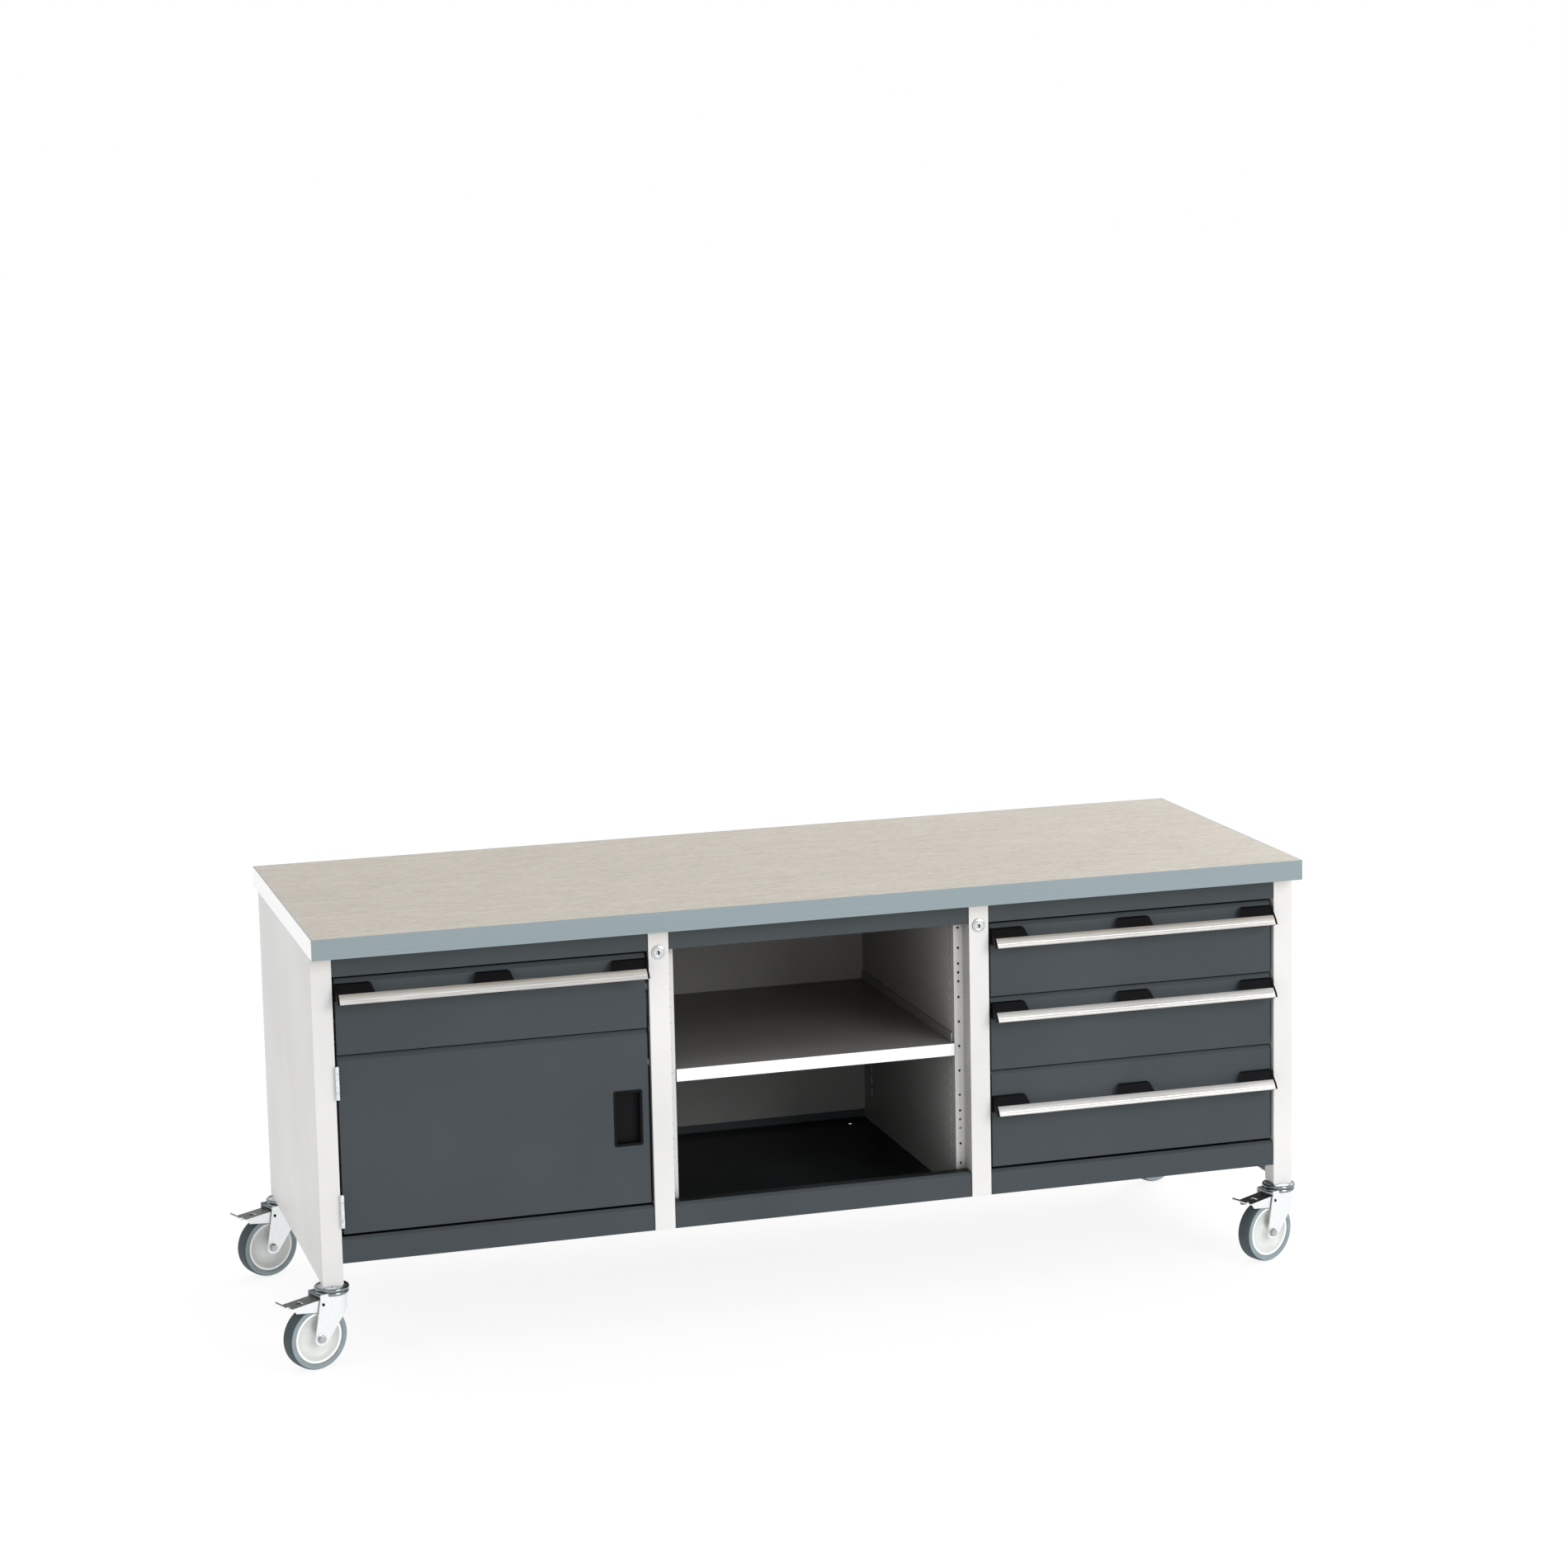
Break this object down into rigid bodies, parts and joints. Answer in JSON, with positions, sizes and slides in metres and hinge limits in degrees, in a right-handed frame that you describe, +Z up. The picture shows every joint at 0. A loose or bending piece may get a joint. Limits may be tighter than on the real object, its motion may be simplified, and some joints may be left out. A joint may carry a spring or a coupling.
{
  "type": "workbench with drawers",
  "caption": "Mobile steel workbench on braked swivel casters, with a cupboard under a drawer, an open shelf bay and a bank of drawers under a lino worktop.",
  "frame": {"origin": "middle of the bottom of the overall box, on the floor the casters stand on", "axes": "+X along the bench to the right as seen from the front, -Y out of the front, +Z up"},
  "size_m": [2.1, 0.75, 0.84],
  "materials": {
    "birch_core": "oiled multiplex edge and face",
    "worktop_surface": "beige lino with fine streaks",
    "worktop_edging": "blue-grey satin edging",
    "light_grey_paint": "light grey powder coat",
    "anthracite_paint": "anthracite powder coat",
    "drawer_box_paint": "light grey powder coat",
    "zinc_plate": "bright zinc plate",
    "chrome": "polished",
    "brushed_aluminium": "brushed along its length",
    "black_plastic": "fine moulded texture",
    "ivory_nylon": "smooth ivory moulding",
    "grey_rubber": "non-marking grey rubber"
  },
  "bodies": {
    "bench": {"worktop_board": "birch_core", "worktop_surface": "worktop_surface", "worktop_edging": "worktop_edging", "left_end_frame": "light_grey_paint", "right_end_frame": "light_grey_paint", "left_partition": "light_grey_paint", "right_partition": "light_grey_paint", "back_panels": "light_grey_paint", "top_rails": "anthracite_paint", "base_trays": "anthracite_paint", "shelf": "light_grey_paint", "shelf_clips": "zinc_plate", "cabinet_runners": "zinc_plate", "hinge_frame_leaves": "zinc_plate", "hinge_pins": "zinc_plate", "lock_bezels": "chrome", "caster_heads": "zinc_plate"},
    "left_drawer": {"left_drawer_box": "drawer_box_paint", "left_drawer_front": "anthracite_paint", "left_drawer_handle_bar": "brushed_aluminium", "left_drawer_handle_brackets": "black_plastic"},
    "upper_drawer": {"upper_drawer_box": "drawer_box_paint", "upper_drawer_front": "anthracite_paint", "upper_drawer_handle_bar": "brushed_aluminium", "upper_drawer_handle_brackets": "black_plastic"},
    "middle_drawer": {"middle_drawer_box": "drawer_box_paint", "middle_drawer_front": "anthracite_paint", "middle_drawer_handle_bar": "brushed_aluminium", "middle_drawer_handle_brackets": "black_plastic"},
    "lower_drawer": {"lower_drawer_box": "drawer_box_paint", "lower_drawer_front": "anthracite_paint", "lower_drawer_handle_bar": "brushed_aluminium", "lower_drawer_handle_brackets": "black_plastic"},
    "door": {"door_panel": "anthracite_paint", "door_pull": "black_plastic", "door_hinge_leaves": "zinc_plate"},
    "left_lock": {"left_lock_barrel": "chrome"},
    "left_lock_bar": {"left_lock_bar": "zinc_plate"},
    "right_lock": {"right_lock_barrel": "chrome"},
    "right_lock_bar": {"right_lock_bar": "zinc_plate"},
    "front_left_caster": {"front_left_fork": "zinc_plate", "front_left_axle": "zinc_plate"},
    "front_left_wheel": {"front_left_wheel_centre": "ivory_nylon", "front_left_tyre": "grey_rubber"},
    "front_left_brake": {"front_left_brake_pedal": "zinc_plate"},
    "front_right_caster": {"front_right_fork": "zinc_plate", "front_right_axle": "zinc_plate"},
    "front_right_wheel": {"front_right_wheel_centre": "ivory_nylon", "front_right_tyre": "grey_rubber"},
    "front_right_brake": {"front_right_brake_pedal": "zinc_plate"},
    "rear_left_caster": {"rear_left_fork": "zinc_plate", "rear_left_axle": "zinc_plate"},
    "rear_left_wheel": {"rear_left_wheel_centre": "ivory_nylon", "rear_left_tyre": "grey_rubber"},
    "rear_left_brake": {"rear_left_brake_pedal": "zinc_plate"},
    "rear_right_caster": {"rear_right_fork": "zinc_plate", "rear_right_axle": "zinc_plate"},
    "rear_right_wheel": {"rear_right_wheel_centre": "ivory_nylon", "rear_right_tyre": "grey_rubber"},
    "rear_right_brake": {"rear_right_brake_pedal": "zinc_plate"}
  },
  "joints": [
    {"name": "left_drawer_slide", "type": "slide", "parent": "bench", "child": "left_drawer", "axis": [0, -1, 0], "range_m": [0, 0.43]},
    {"name": "upper_drawer_slide", "type": "slide", "parent": "bench", "child": "upper_drawer", "axis": [0, -1, 0], "range_m": [0, 0.43]},
    {"name": "middle_drawer_slide", "type": "slide", "parent": "bench", "child": "middle_drawer", "axis": [0, -1, 0], "range_m": [0, 0.43]},
    {"name": "lower_drawer_slide", "type": "slide", "parent": "bench", "child": "lower_drawer", "axis": [0, -1, 0], "range_m": [0, 0.43]},
    {"name": "door_hinge", "type": "hinge", "parent": "bench", "child": "door", "pos_m": [-0.91499, -0.3345, 0.4285], "axis": [0, 0, -1], "range_deg": [0, 170]},
    {"name": "left_lock_turn", "type": "hinge", "parent": "bench", "child": "left_lock", "pos_m": [-0.28666, -0.33, 0.752], "axis": [0, 1, 0], "range_deg": [0, 90]},
    {"name": "left_lock_bar_lift", "type": "slide", "parent": "bench", "child": "left_lock_bar", "axis": [0, 0, 1], "range_m": [0, 0.01]},
    {"name": "right_lock_turn", "type": "hinge", "parent": "bench", "child": "right_lock", "pos_m": [0.36467, -0.33, 0.752], "axis": [0, -1, 0], "range_deg": [0, 90]},
    {"name": "right_lock_bar_lift", "type": "slide", "parent": "bench", "child": "right_lock_bar", "axis": [0, 0, 1], "range_m": [0, 0.01]},
    {"name": "front_left_swivel", "type": "hinge", "parent": "bench", "child": "front_left_caster", "pos_m": [-0.93799, -0.308, 0.155], "axis": [0, 0, 1], "continuous": true},
    {"name": "front_left_wheel_spin", "type": "hinge", "parent": "front_left_caster", "child": "front_left_wheel", "pos_m": [-0.97516, -0.32279, 0.0625], "axis": [0.3697, -0.9291, 0], "continuous": true},
    {"name": "front_left_brake_press", "type": "hinge", "parent": "front_left_caster", "child": "front_left_brake", "pos_m": [-0.96912, -0.32039, 0.1286], "axis": [0.3697, -0.9291, 0], "range_deg": [0, 6]},
    {"name": "front_right_swivel", "type": "hinge", "parent": "bench", "child": "front_right_caster", "pos_m": [1.01601, -0.308, 0.155], "axis": [0, 0, 1], "continuous": true},
    {"name": "front_right_wheel_spin", "type": "hinge", "parent": "front_right_caster", "child": "front_right_wheel", "pos_m": [0.97884, -0.32279, 0.0625], "axis": [0.3697, -0.9291, 0], "continuous": true},
    {"name": "front_right_brake_press", "type": "hinge", "parent": "front_right_caster", "child": "front_right_brake", "pos_m": [0.98488, -0.32039, 0.1286], "axis": [0.3697, -0.9291, 0], "range_deg": [0, 6]},
    {"name": "rear_left_swivel", "type": "hinge", "parent": "bench", "child": "rear_left_caster", "pos_m": [-0.93799, 0.308, 0.155], "axis": [0, 0, 1], "continuous": true},
    {"name": "rear_left_wheel_spin", "type": "hinge", "parent": "rear_left_caster", "child": "rear_left_wheel", "pos_m": [-0.97516, 0.29321, 0.0625], "axis": [0.3697, -0.9291, 0], "continuous": true},
    {"name": "rear_left_brake_press", "type": "hinge", "parent": "rear_left_caster", "child": "rear_left_brake", "pos_m": [-0.96912, 0.29561, 0.1286], "axis": [0.3697, -0.9291, 0], "range_deg": [0, 6]},
    {"name": "rear_right_swivel", "type": "hinge", "parent": "bench", "child": "rear_right_caster", "pos_m": [1.01601, 0.308, 0.155], "axis": [0, 0, 1], "continuous": true},
    {"name": "rear_right_wheel_spin", "type": "hinge", "parent": "rear_right_caster", "child": "rear_right_wheel", "pos_m": [0.97884, 0.29321, 0.0625], "axis": [0.3697, -0.9291, 0], "continuous": true},
    {"name": "rear_right_brake_press", "type": "hinge", "parent": "rear_right_caster", "child": "rear_right_brake", "pos_m": [0.98488, 0.29561, 0.1286], "axis": [0.3697, -0.9291, 0], "range_deg": [0, 6]}
  ],
  "couplings": [
    {"joint": "left_lock_turn", "follows": "left_lock_bar_lift", "rad_per_m": 157.08},
    {"joint": "right_lock_turn", "follows": "right_lock_bar_lift", "rad_per_m": 157.08}
  ]
}
